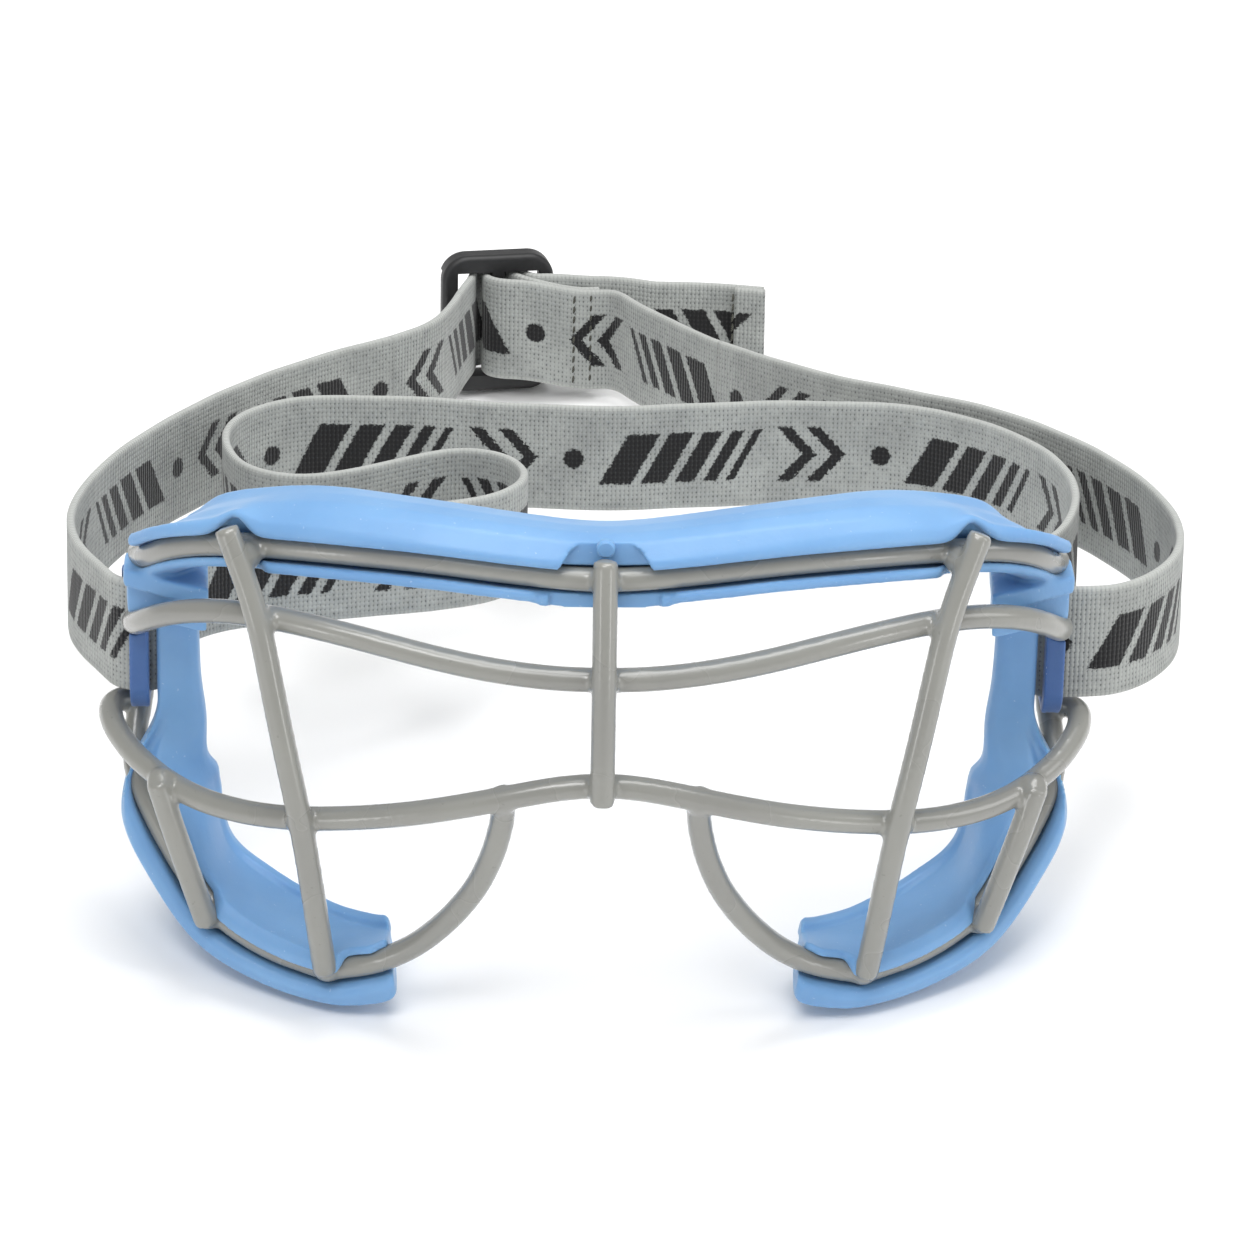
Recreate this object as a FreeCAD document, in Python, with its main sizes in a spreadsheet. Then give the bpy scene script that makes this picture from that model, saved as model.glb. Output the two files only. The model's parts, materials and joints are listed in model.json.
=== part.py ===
import FreeCAD, Part
import math
import os

from FreeCAD import Placement, Rotation, Vector

# Wire-cage sports goggles with a silicone face pad and an elastic head strap.
# Everything is modelled as worn: X to the wearer's left, Y back past the face, Z up. REST then
# leans the whole assembly back, so that it stands on a table on its two cheek pads and the
# strap's slide adjuster. The strap lies in a plane of its own, which drops towards the back.

doc = FreeCAD.newDocument("goggles")

# ---------------------------------------------------------------- driving dimensions (mm, degrees)
SIZES = {
    "wire_diameter": 3.5,
    "wire_bite": 0.35,
    "groove_play": 0.05,
    "strap_width": 18.4,
    "strap_thickness": 1.4,
    "strap_height": -21.5,
    "strap_drop": 3.6,
    "ear_thickness": 3.0,
    "ear_length": 12.4,
    "ear_height": 22.8,
    "ear_corner": 3.0,
    "ear_slot_start": 4.2,
    "ear_slot_width": 4.4,
    "ear_slot_height": 19.6,
    "knuckle_radius": 3.1,
    "knuckle_height": 18.0,
    "glide_width": 20.0,
    "glide_height": 25.2,
    "glide_rim_depth": 4.6,
    "glide_thickness": 2.4,
    "glide_side_bar": 2.8,
    "glide_middle_bar": 2.4,
    "glide_slot_height": 19.2,
    "glide_corner": 4.5,
    "glide_edge": 0.5,
    "glide_rim_edge": 1.0,
    "stud_diameter": 2.8,
    "stud_height": 1.2,
    "stud_lip": 0.3,
    "stitch_length": 1.3,
    "stitch_pitch": 2.0,
    "stitch_radius": 0.22,
    "lean": 9.62,
}

sheet = doc.addObject("Spreadsheet::Sheet", "sizes")
for row, (alias, value) in enumerate(SIZES.items(), start=1):
    sheet.set("A%d" % row, alias)
    sheet.set("B%d" % row, str(value))
    sheet.setAlias("B%d" % row, alias)
doc.recompute()


def size(alias):
    """The value of one driving dimension, as the sheet holds it."""
    return float(sheet.get(alias))


WIRE_R = size("wire_diameter") / 2
CROSSING = size("wire_diameter") - size("wire_bite")
STRAP_Z = size("strap_height")
STRAP_T = size("strap_thickness")

REST = Placement(Vector(0, 0, 0), Rotation(Vector(1, 0, 0), -size("lean")))
nodes = []


def feature(name, shape, local=Placement()):
    """A sub-part whose shape comes from Part's functions; local places it as worn."""
    piece = doc.addObject("Part::Feature", name)
    piece.Shape = shape
    piece.Label = name
    piece.Placement = REST.multiply(local)
    nodes.append(piece)
    return piece


def body(name, local):
    """A PartDesign body whose own frame sits at the placement local in worn coordinates."""
    piece = doc.addObject("PartDesign::Body", name)
    piece.Label = name
    piece.Placement = REST.multiply(local)
    nodes.append(piece)
    return piece


def plane_of(piece, role):
    return next(item for item in piece.Origin.OriginFeatures if item.Role == role)


def sketch_on(piece, name, role):
    sketch = piece.newObject("Sketcher::SketchObject", name)
    sketch.AttachmentSupport = [(plane_of(piece, role), "")]
    sketch.MapMode = "FlatFace"
    return sketch


def mirrored(points):
    """The same points on the other side of the face."""
    return [(-x, y, z) for x, y, z in points]


def across(half):
    """A line that runs over the middle of the face: half goes from the middle outwards."""
    return mirrored(half[:0:-1]) + list(half)


def rounded_path(points):
    """Straight runs joined by tangent arcs, each as large as the shorter run beside it allows."""
    spots = [Vector(*point) for point in points]
    edges = []
    start = spots[0]
    for before, corner, after in zip(spots, spots[1:], spots[2:]):
        back = (before - corner).normalize()
        ahead = (after - corner).normalize()
        turn = math.pi - back.getAngle(ahead)
        if turn < 1e-3:
            continue
        cut = 0.47 * min(before.distanceToPoint(corner), corner.distanceToPoint(after))
        radius = cut / math.tan(turn / 2)
        arc_start = corner + back * cut
        arc_end = corner + ahead * cut
        inward = (back + ahead).normalize()
        middle = corner + inward * (radius / math.cos(turn / 2) - radius)
        edges.append(Part.LineSegment(start, arc_start).toShape())
        edges.append(Part.Arc(arc_start, middle, arc_end).toShape())
        start = arc_end
    edges.append(Part.LineSegment(start, spots[-1]).toShape())
    return Part.Wire(edges)


def round_wire(points, radius=WIRE_R):
    """A round wire bent along the points."""
    path = rounded_path(points)
    start = path.Edges[0].firstVertex().Point
    heading = Vector(*points[1]) - Vector(*points[0])
    ring = Part.Wire([Part.Circle(start, heading, radius).toShape()])
    return path.makePipeShell([ring], True, False)


def ribbon(points):
    """A strap on edge: plan points (x, y) in the strap's own plane, as wide as the strap."""
    path = rounded_path([(x, y, 0) for x, y in points])
    start = path.Edges[0].firstVertex().Point
    ahead = (Vector(*points[1]) - Vector(*points[0])).normalize()
    side = Vector(-ahead.y, ahead.x, 0) * (STRAP_T / 2)
    up = Vector(0, 0, size("strap_width") / 2)
    corners = [start + side + up, start + side - up, start - side - up, start - side + up]
    profile = Part.makePolygon(corners + corners[:1])
    return path.makePipeShell([profile], True, False)


# ---------------------------------------------------------------- steel cage
# Each half line runs from the middle of the face to the wearer's side.
BROW_HALF = [(0, 5, 4.7), (13, 5.6, 5.7), (26, 7.6, 6.6), (40, 11.6, 6.2), (51, 16.4, 5.0),
             (60.5, 22, 2.8), (66, 26.5, 0.0), (69.5, 32, -4.0), (71.4, 39.2, -7.6)]
TEMPLE = [(71.4, 39.2, -7.6), (71.5, 44.4, -8.6), (71.2, 46.9, -13.4), (71.2, 46.9, -26),
          (71.2, 46.4, -34), (72.4, 42, -39.5), (72.2, 37.5, -43.2), (70.0, 34.6, -47.5),
          (66.3, 31, -53.6), (60, 25.5, -61.6), (51.5, 20.6, -65.6), (41.8, 16, -66.9)]
NOSE = [(41.3, 15.9, -66.8), (34, 14.5, -65.0), (28, 12.8, -61.2), (22.8, 10.6, -55.4),
        (18.6, 8.0, -48.4), (16.2, 5.6, -41.4), (15.0, 3.6, -35.2), (14.8, 2.0, -31.2)]
UPPER_HALF = [(0, 1.5, -10.1), (8, 1.7, -9.9), (16.5, 2.5, -9.1), (25, 3.8, -7.8),
              (33.5, 6, -6.4), (42, 9, -5.4), (50, 12.7, -5.2), (57, 16.6, -6.0),
              (63, 20.4, -7.8), (67.4, 24.8, -10.6), (70.2, 29.2, -13.6), (71.7, 33.4, -16.0),
              (72.1, 37.4, -17.4)]
LOWER_HALF = [(0, 0, -26.9), (6, 0.2, -27.5), (12, 0.6, -28.9), (20, 1.8, -31.3),
              (28, 3.5, -33.6), (37, 6.1, -35.8), (46.5, 10, -37.9), (54, 13.8, -38.9),
              (61, 18.6, -39.2), (66.8, 23.8, -38.5), (72.2, 29.8, -36.6), (75.6, 36, -34.4),
              (76.2, 41.5, -33.7), (73.2, 46.2, -34.6)]
CENTRE = [(0, 5.0 - CROSSING, 9.3), (0, 1.5 - CROSSING - 0.3, -10.1), (0, -CROSSING, -28.6)]
SIDE = [(56.9, 14.4, 8.6), (53.6, 12.0, 0.0), (51.6, 10.1, -6.5), (48.2, 7.4, -24.0),
        (45.6, 6.5, -36.6), (44.0, 8.0, -48.0), (43.0, 10.4, -57.0), (42.0, 13.2, -65.8)]
STRUT = [(67.9, 21.1, -37.2), (65.6, 20.6, -45.0), (62.6, 21.0, -55.0), (60.6, 22.6, -62.4)]

brow = round_wire(across(BROW_HALF))
upper = round_wire(across(UPPER_HALF))
lower = round_wire(across(LOWER_HALF))
centre = round_wire(CENTRE).cut(brow).cut(upper).cut(lower)
feature("brow_wire", brow)

cage = {"left": {}, "right": {}}
for side, flip in (("left", mirrored), ("right", list)):
    temple = round_wire(flip(TEMPLE)).cut(brow)
    cage[side]["temple"] = temple
    cage[side]["nose"] = round_wire(flip(NOSE)).cut(lower).cut(temple)
    cage[side]["bar"] = round_wire(flip(SIDE)).cut(brow).cut(upper).cut(lower).cut(temple)
    cage[side]["bar"] = cage[side]["bar"].cut(cage[side]["nose"])
    cage[side]["strut"] = round_wire(flip(STRUT)).cut(lower).cut(temple)
    upper = upper.cut(temple)
    lower = lower.cut(temple)
feature("upper_bar", upper)
feature("lower_bar", lower)
feature("centre_bar", centre)
for side, wires in cage.items():
    feature(side + "_temple_wire", wires["temple"])
    feature(side + "_nose_arc", wires["nose"])
    feature(side + "_side_bar", wires["bar"])
    feature(side + "_cheek_strut", wires["strut"])

# Weld beads: a small ball of weld metal in each crossing, sunk into the wires that it joins.
BEADS_HALF = [(53.9, 15.2, 3.9), (51.6, 11.6, -5.3), (45.9, 8.1, -36.9), (67.4, 22.5, -37.9),
              (60.4, 24.0, -61.8), (14.8, 1.6, -30.2)]
BEADS_MIDDLE = [(0, 3.4, 5.0), (0, 0.0, -10.1), (0, -1.5, -26.9)]
BEAD_R = 2.5
bead_spots = BEADS_MIDDLE + BEADS_HALF + mirrored(BEADS_HALF)
beads = [Part.makeSphere(BEAD_R, Vector(*spot)) for spot in bead_spots]
feature("weld_beads", Part.makeCompound(beads))
bead_room = [Part.makeSphere(BEAD_R + 0.3, Vector(*spot)) for spot in bead_spots]

# ---------------------------------------------------------------- silicone face pad
# Brow pad: one moulding along the brow wire, with an open groove in front that the wire snaps
# into, a broad upper flange that reaches back to the forehead and a thin lower flange.
PLAY = WIRE_R + size("groove_play")


def brow_section(spot, outward, lift, depth):
    """The pad's outline across the wire at spot; outward is the plan direction to the front."""
    outline = [(PLAY, PLAY), (-2.0, PLAY), (-1.7, 5.0 + lift), (0.0, 5.6 + lift),
               (depth - 1.0, 4.4 + lift), (depth, 3.2), (depth - 2.4, -3.2), (depth - 4.4, -4.4),
               (-0.8, -4.4), (-1.3, -3.6), (-1.3, -PLAY), (PLAY, -PLAY)]
    points = [Vector(*spot) - outward * back + Vector(0, 0, up) for back, up in outline]
    return Part.makePolygon(points + points[:1])


line = across(BROW_HALF[:-1])
sections = []
for index, spot in enumerate(line):
    before = Vector(*line[max(index - 1, 0)])
    after = Vector(*line[min(index + 1, len(line) - 1)])
    run = after - before
    outward = Vector(run.y, -run.x, 0).normalize()
    reach = abs(spot[0]) / 70.0
    lift = 1.2 * math.exp(-((abs(spot[0]) - 46.0) / 12.0) ** 2)
    sections.append(brow_section(spot, outward, lift, 12.0 - 2.0 * reach ** 4))
brow_pad = Part.makeLoft(sections, True, False)

# The end block under each end of the brow pad closes the moulding down to the cheek pads.
BLOCK = [(60.6, 28.0), (73.0, 35.8), (73.0, 39.2), (61.0, 39.2)]
BLOCK_TOP = -4.6
BLOCK_BASE = -15.0
for flip in (mirrored, list):
    corners = [Vector(*point) for point in flip([(x, y, BLOCK_TOP) for x, y in BLOCK])]
    base = Part.Face(Part.makePolygon(corners + corners[:1]))
    brow_pad = brow_pad.fuse(base.extrude(Vector(0, 0, BLOCK_BASE - BLOCK_TOP)))
cutters = [round_wire(across(BROW_HALF), PLAY), round_wire(across(UPPER_HALF), PLAY + 0.2)]
for flip in (mirrored, list):
    cutters.append(round_wire(flip(TEMPLE), PLAY))
    cutters.append(round_wire(flip(SIDE), PLAY + 0.4))
cutters.append(round_wire(CENTRE, PLAY + 0.4))
# The scallop: a shallow half-moon dish in the lip over the centre bar, with a flat floor.
SCALLOP_R = 6.2
SCALLOP_FLOOR = 4.7
cutters.append(Part.makeCylinder(SCALLOP_R, 10, Vector(0, SCALLOP_FLOOR, 6.4), Vector(0, -1, 0)))
brow_pad = brow_pad.cut(cutters + bead_room)
brow_pad = max(brow_pad.Solids, key=lambda solid: solid.Volume)
feature("brow_pad", brow_pad)

# Cheek pads: each follows the temple and cheek wire. A station holds the wire's place, the
# inward direction in the face plane (degrees from +X), how far the moulding stands outside the
# wire, the lip inside it, the skin edge's inward offset and how far that edge lies behind.
STATIONS = [
    ((71.2, 37.0, -15.3), 180, -2.0, 9.6, 9.9, -2.0),
    ((71.2, 37.4, -26.0), 180, -2.0, 9.6, 10.2, -2.0),
    ((71.2, 37.6, -34.0), 178, -2.0, 9.2, 10.6, -1.6),
    ((72.2, 37.0, -42.5), 165, 1.8, 5.8, 12.2, 2.4),
    ((69.4, 34.0, -48.6), 148, 4.8, 4.6, 11.6, 8.0),
    ((66.3, 31.0, -53.6), 138, 5.5, 4.4, 9.0, 11.5),
    ((60.0, 25.5, -61.6), 120, 5.8, 4.4, 5.4, 14.5),
    ((51.5, 20.6, -65.6), 104, 5.8, 4.4, 4.4, 15.5),
    ((41.8, 16.0, -66.9), 92, 5.8, 4.6, 4.0, 12.5),
    ((34.6, 15.2, -67.4), 86, 5.0, 3.8, 3.2, 8.5),
    ((31.8, 15.8, -67.4), 84, 3.2, 2.2, 1.8, 6.0),
]
SKIN_THICKNESS = 4.2


def cheek_section(spot, angle, outer, lip, skin, reach):
    inward = Vector(math.cos(math.radians(angle)), 0, math.sin(math.radians(angle)))
    back = Vector(0, 1, 0)
    rear = max(reach + SKIN_THICKNESS, 2.0)
    outline = [(-outer, -1.4), (lip, -1.4), (skin, reach), (skin - 0.6, reach + SKIN_THICKNESS),
               (max(skin - 7.5, -outer + 0.8), rear), (-outer, min(rear - 1.0, 9.0))]
    points = [Vector(*spot) + inward * far + back * deep for far, deep in outline]
    return Part.makePolygon(points + points[:1])


cheek = Part.makeLoft([cheek_section(*station) for station in STATIONS], True, True)
cutters = [round_wire(line, PLAY) for line in (TEMPLE, NOSE)]
cutters += [round_wire(line, PLAY + 0.3) for line in (SIDE, STRUT)]
cutters.append(round_wire(across(LOWER_HALF), PLAY + 0.3))
cheek = cheek.cut(cutters + bead_room).cut(brow_pad)
cheek = max(cheek.Solids, key=lambda solid: solid.Volume)
cheeks = {"left": cheek.mirror(Vector(0, 0, 0), Vector(1, 0, 0)), "right": cheek}
for side, pad in cheeks.items():
    feature(side + "_cheek_pad", pad)

# The stud in the scallop at the middle of the brow pad.
STUD_SPOT = Vector(0, SCALLOP_FLOOR - 0.06, 10.5)
stud = body("brow_pad_stud", Placement(STUD_SPOT, Rotation(Vector(1, 0, 0), 90)))
profile = sketch_on(stud, "stud_profile", "XZ_Plane")
half = size("stud_diameter") / 2
rise = size("stud_height")
lip = size("stud_lip")
corners = [(0, 0), (half, 0), (half, rise - lip), (half - lip, rise), (0, rise)]
for (x1, y1), (x2, y2) in zip(corners, corners[1:] + corners[:1]):
    profile.addGeometry(Part.LineSegment(Vector(x1, y1, 0), Vector(x2, y2, 0)), False)
turned = stud.newObject("PartDesign::Revolution", "stud_turned")
turned.Profile = profile
turned.ReferenceAxis = (profile, ["V_Axis"])
turned.Angle = 360

# ---------------------------------------------------------------- strap ears
# An ear is a plate slotted for the strap, with a sleeve at its rear edge moulded round the
# temple wire. Its own frame sits on its front edge: X out of the face, Y back, Z up.
EAR_SIDE = 71.2
EAR_FRONT = 34.4


def rectangle(sketch, x1, y1, x2, y2):
    corners = [Vector(x1, y1, 0), Vector(x2, y1, 0), Vector(x2, y2, 0), Vector(x1, y2, 0)]
    for start, end in zip(corners, corners[1:] + corners[:1]):
        sketch.addGeometry(Part.LineSegment(start, end), False)


def cut_through(piece, sketch, name):
    """Pocket both ways through the piece, and make sure that it removed something."""
    before = piece.Shape.Volume
    pocket = piece.newObject("PartDesign::Pocket", name)
    pocket.Profile = sketch
    pocket.Type = "ThroughAll"
    pocket.Midplane = True
    doc.recompute()
    if piece.Shape.Volume >= before - 1e-6:
        raise RuntimeError(name + " removed nothing")
    return pocket


def edges_along(shape, direction, at_least):
    """The names of the straight edges that run along direction and are long enough."""
    names = []
    for index, edge in enumerate(shape.Edges, start=1):
        span = edge.lastVertex().Point - edge.firstVertex().Point
        if span.Length > at_least and abs(span.normalize().dot(direction)) > 0.999:
            names.append("Edge%d" % index)
    return names


for side, sign in (("left", -1), ("right", 1)):
    blank = doc.addObject("PartDesign::Body", side + "_ear_blank")
    blank.Placement = Placement(Vector(sign * EAR_SIDE, EAR_FRONT, STRAP_Z), Rotation())
    outline = sketch_on(blank, side + "_ear_outline", "YZ_Plane")
    half = size("ear_height") / 2
    rectangle(outline, 0, -half, size("ear_length"), half)
    plate = blank.newObject("PartDesign::Pad", side + "_ear_plate")
    plate.Profile = outline
    plate.Midplane = True
    plate.setExpression("Length", "sizes.ear_thickness")
    doc.recompute()
    rounding = blank.newObject("PartDesign::Fillet", side + "_ear_corners")
    free = [name for name in edges_along(plate.Shape, Vector(1, 0, 0), 0.5)
            if max(-plate.Shape.getElement(name).CenterOfMass.z,
                   plate.Shape.getElement(name).CenterOfMass.y - 1) > 0]
    rounding.Base = (plate, free)
    rounding.setExpression("Radius", "sizes.ear_corner")
    slot = sketch_on(blank, side + "_ear_slot_outline", "YZ_Plane")
    start = size("ear_slot_start")
    half = size("ear_slot_height") / 2
    rectangle(slot, start, -half, start + size("ear_slot_width"), half)
    doc.recompute()
    cut_through(blank, slot, side + "_ear_slot")
    ring = sketch_on(blank, side + "_knuckle_outline", "XY_Plane")
    centre_point = Vector(0, size("ear_length"), 0)
    ring.addGeometry(Part.Circle(centre_point, Vector(0, 0, 1), size("knuckle_radius")), False)
    knuckle = blank.newObject("PartDesign::Pad", side + "_knuckle")
    knuckle.Profile = ring
    knuckle.Midplane = True
    knuckle.setExpression("Length", "sizes.knuckle_height")
    doc.recompute()
    flip = mirrored if side == "left" else list
    tunnels = [round_wire(flip(TEMPLE), PLAY), round_wire(across(BROW_HALF), PLAY)]
    tunnels += [round_wire(across(half), PLAY + 0.2) for half in (LOWER_HALF, UPPER_HALF)]
    channel = doc.addObject("Part::Feature", side + "_ear_wire_channel")
    channel.Shape = tunnels[0].fuse(tunnels[1:] + [brow_pad, cheeks[side]])
    ear = doc.addObject("Part::Cut", side + "_strap_ear")
    ear.Label = side + "_strap_ear"
    ear.Base = blank
    ear.Tool = channel
    ear.Placement = REST
    nodes.append(ear)

# ---------------------------------------------------------------- head strap
# One elastic band on edge, in plan view of its own plane, which meets the ears at their middle
# height and drops towards the back. GLIDE is the slide adjuster's centre in that plane; local
# points there are (along the strap, towards the face).
STRAP_HINGE = Vector(0, 42.0, STRAP_Z)
STRAP_PLANE = Placement(STRAP_HINGE, Rotation(Vector(1, 0, 0), -size("strap_drop")))
STRAP_PLANE = STRAP_PLANE.multiply(Placement(Vector(0, -STRAP_HINGE.y, 0), Rotation()))
GLIDE = Vector(-14.6, 193.0, 0)
GLIDE_YAW = math.radians(10)
ALONG = Vector(math.cos(GLIDE_YAW), math.sin(GLIDE_YAW), 0)
FACEWARD = Vector(math.sin(GLIDE_YAW), -math.cos(GLIDE_YAW), 0)


def at_glide(points):
    spots = [GLIDE + ALONG * along + FACEWARD * out for along, out in points]
    return [(spot.x, spot.y) for spot in spots]


SLOT_LINE = 40.5
INNER_END = (66.6, 52.0)
LEFT_LOOP = [(-80.35, 53.7), (-77.9, 48.3), (-74.6, SLOT_LINE), (-67.2, SLOT_LINE),
             (-INNER_END[0], INNER_END[1])]
RIGHT_LOOP = [(81.5, 41.6), (76.4, SLOT_LINE), (67.2, SLOT_LINE), INNER_END]
OUTER_LEFT = [(-80.5, 54), (-82.9, 61.3), (-83.7, 72), (-81.8, 85.5),
              (-75.6, 104.3), (-66, 121.7), (-54.6, 138.1), (-43.6, 149.1), (-33.2, 157.7)]
LEAD_IN = [(-33.0, 157.9), (-26.2, 165.0), (-22.8, 175.2)] + at_glide([(-7.0, 5.8)])
THREADED = at_glide([(-6.9, 5.5), (-4.4, 0), (-3.6, -3.8), (3.1, -3.8), (5.9, 2.2), (12, 2.2)])
TAIL_LEAD = at_glide([(12.3, 2.2), (15.5, 1.9), (20, 0.9), (25.3, 0.9)])
TAIL = at_glide([(25.6, 0.95), (32, 2.2), (39, 4.4), (46.6, 7.4)])
SEWN = at_glide([(17.5, 5.35), (3.0, 5.35), (-2.05, 2.6), (-2.05, -2.05), (1.9, -2.05),
                 (4.7, 3.8), (17.5, 3.8)])
LEAD_OUT = at_glide([(17.8, 5.35), (20.6, 6.6)]) + [(9.8, 183.8), (16.6, 173.0), (23.5, 163.2)]
OUTER_RIGHT = [(23.7, 163), (30.3, 154.6), (37.6, 146.6), (46, 139.6), (57, 131.8),
               (68, 123.7), (78, 113), (86.5, 98.5), (92, 83.6), (93.9, 69.1),
               (92.3, 57), (88, 47.6), (81.8, 41.8)]
INNER_RIGHT = [(66.8, 52.6), (69.4, 58), (75.4, 68.1), (78.7, 82.6), (77.6, 98.1),
               (70.5, 112.1), (61, 121.4), (50, 125.9), (35.8, 126.8), (19, 124.5),
               (2, 122.2), (-14.6, 124.3)]
INNER_FOLD = [(-14.9, 124.4), (-31.4, 127.2), (-45, 127.2), (-55, 122.8), (-60, 113.5),
              (-59.8, 101.9), (-56, 91.8), (-47.5, 87.6), (-38, 91.7), (-28, 99)]
INNER_LEFT = [(-27.7, 99.2), (-20, 102.5), (-13, 98.6), (-10.2, 89.8), (-14.2, 81),
              (-24, 75.8), (-42, 71.4), (-54, 68.7), (-62, 64.4), (-66.2, 58.2), (-66.6, 52.3)]
RIBBONS = {
    "left_strap_loop": LEFT_LOOP,
    "right_strap_loop": RIGHT_LOOP,
    "outer_left_run": OUTER_LEFT,
    "slide_lead_in": LEAD_IN,
    "threaded_stretch": THREADED,
    "tail_lead": TAIL_LEAD,
    "free_tail": TAIL,
    "sewn_loop": SEWN,
    "slide_lead_out": LEAD_OUT,
    "outer_right_run": OUTER_RIGHT,
    "inner_right_run": INNER_RIGHT,
    "inner_fold": INNER_FOLD,
    "inner_left_run": INNER_LEFT,
}
strap_length = 0.0
for name, points in RIBBONS.items():
    feature(name, ribbon(points), STRAP_PLANE)
    strap_length += rounded_path([(x, y, 0) for x, y in points]).Length
print("strap length, mm: %.0f" % strap_length)

# The tail's end is turned back on itself and sewn down: a second layer on the face side.
HEM_LENGTH = 6.5
end = Vector(*TAIL[-1], 0)
run = (end - Vector(*TAIL[-2], 0)).normalize()
aside = Vector(run.y, -run.x, 0)
hem_line = [end - run * HEM_LENGTH + aside * (STRAP_T + 0.02), end + aside * (STRAP_T + 0.02)]
feature("tail_hem", ribbon([(spot.x, spot.y) for spot in hem_line]), STRAP_PLANE)


def stitch_row(foot):
    """A row of short threads up the strap's width, standing on the face at the plan point."""
    pitch = size("stitch_pitch")
    count = int((size("strap_width") - 2.0) / pitch) + 1
    first = -pitch * (count - 1) / 2 - size("stitch_length") / 2
    row = []
    for index in range(count):
        base = Vector(foot.x, foot.y, first + index * pitch)
        row.append(Part.makeCylinder(size("stitch_radius"), size("stitch_length"), base))
    return row


THREAD_STAND = STRAP_T / 2 + size("stitch_radius") + 0.02
threads = []
for along in (14.6, 16.4):
    threads += stitch_row(GLIDE + ALONG * along + FACEWARD * (5.35 + THREAD_STAND))
feature("loop_stitches", Part.makeCompound(threads), STRAP_PLANE)
threads = stitch_row(end - run * (HEM_LENGTH - 1.2) + aside * (STRAP_T + 0.02 + THREAD_STAND))
feature("hem_stitches", Part.makeCompound(threads), STRAP_PLANE)

# ---------------------------------------------------------------- slide adjuster
# Three bars joined by a deep rim at top and bottom. Its own frame: X along the strap, Z up, Y
# away from the face; the bars stand flush with the rims' front.
rim_half = size("glide_rim_depth") / 2
bar = size("glide_thickness")
GLIDE_SPOT = GLIDE + FACEWARD * (bar / 2 - rim_half)
GLIDE_TURN = Rotation(Vector(0, 0, 1), math.degrees(GLIDE_YAW))
glide = body("slide_adjuster", STRAP_PLANE.multiply(Placement(GLIDE_SPOT, GLIDE_TURN)))
outline = sketch_on(glide, "glide_outline", "XZ_Plane")
half_w = size("glide_width") / 2
half_h = size("glide_height") / 2
rectangle(outline, -half_w, -half_h, half_w, half_h)
frame_pad = glide.newObject("PartDesign::Pad", "glide_frame")
frame_pad.Profile = outline
frame_pad.Midplane = True
frame_pad.setExpression("Length", "sizes.glide_rim_depth")
doc.recompute()
corners = glide.newObject("PartDesign::Fillet", "glide_corners")
corners.Base = (frame_pad, edges_along(frame_pad.Shape, Vector(0, 1, 0), 0.5))
corners.setExpression("Radius", "sizes.glide_corner")
doc.recompute()
rim = glide.newObject("PartDesign::Fillet", "glide_rim_edges")
rim.Base = (corners, edges_along(corners.Shape, Vector(1, 0, 0), 5.0))
rim.setExpression("Radius", "sizes.glide_rim_edge")
doc.recompute()
window = sketch_on(glide, "glide_slots", "XZ_Plane")
half_slot = size("glide_slot_height") / 2
near = size("glide_middle_bar") / 2
far = half_w - size("glide_side_bar")
rectangle(window, near, -half_slot, far, half_slot)
rectangle(window, -far, -half_slot, -near, half_slot)
doc.recompute()
cut_through(glide, window, "glide_windows")
relief = sketch_on(glide, "glide_bar_relief", "YZ_Plane")
rectangle(relief, bar - rim_half, -half_slot, rim_half + 1, half_slot)
doc.recompute()
thinned = cut_through(glide, relief, "glide_bars_thinned")
soft = glide.newObject("PartDesign::Fillet", "glide_soft_edges")
inner = [name for name in edges_along(thinned.Shape, Vector(0, 0, 1), 10.0)
         if abs(thinned.Shape.getElement(name).CenterOfMass.x) < far + 0.1]
soft.Base = (thinned, inner)
soft.setExpression("Radius", "sizes.glide_edge")
doc.recompute()

# ---------------------------------------------------------------- stand it on the table
doc.recompute()
box = FreeCAD.BoundBox()
for piece in nodes:
    box.add(piece.Shape.optimalBoundingBox(False))
offset = Vector(-box.Center.x, -box.Center.y, -box.ZMin)
for piece in nodes:
    piece.Placement = Placement(offset, Rotation()).multiply(piece.Placement)
doc.recompute()
print("rest offset, mm: %.3f %.3f %.3f" % tuple(offset))
print("size, mm: %.1f %.1f %.1f" % (box.XLength, box.YLength, box.ZLength))

os.makedirs("parts", exist_ok=True)
for item in doc.Objects:
    if "Invalid" in item.State or "Error" in item.State:
        raise RuntimeError("%s did not build: %s" % (item.Name, item.State))
for piece in nodes:
    shape = piece.Shape
    if shape.isNull() or not shape.isValid():
        raise RuntimeError(piece.Label + " has no valid shape")
    print("%-20s %8.1f mm3 low %.2f" % (piece.Label, shape.Volume,
                                       shape.optimalBoundingBox(False).ZMin))
    shape.exportStep(os.path.join("parts", piece.Label + ".step"))
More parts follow.
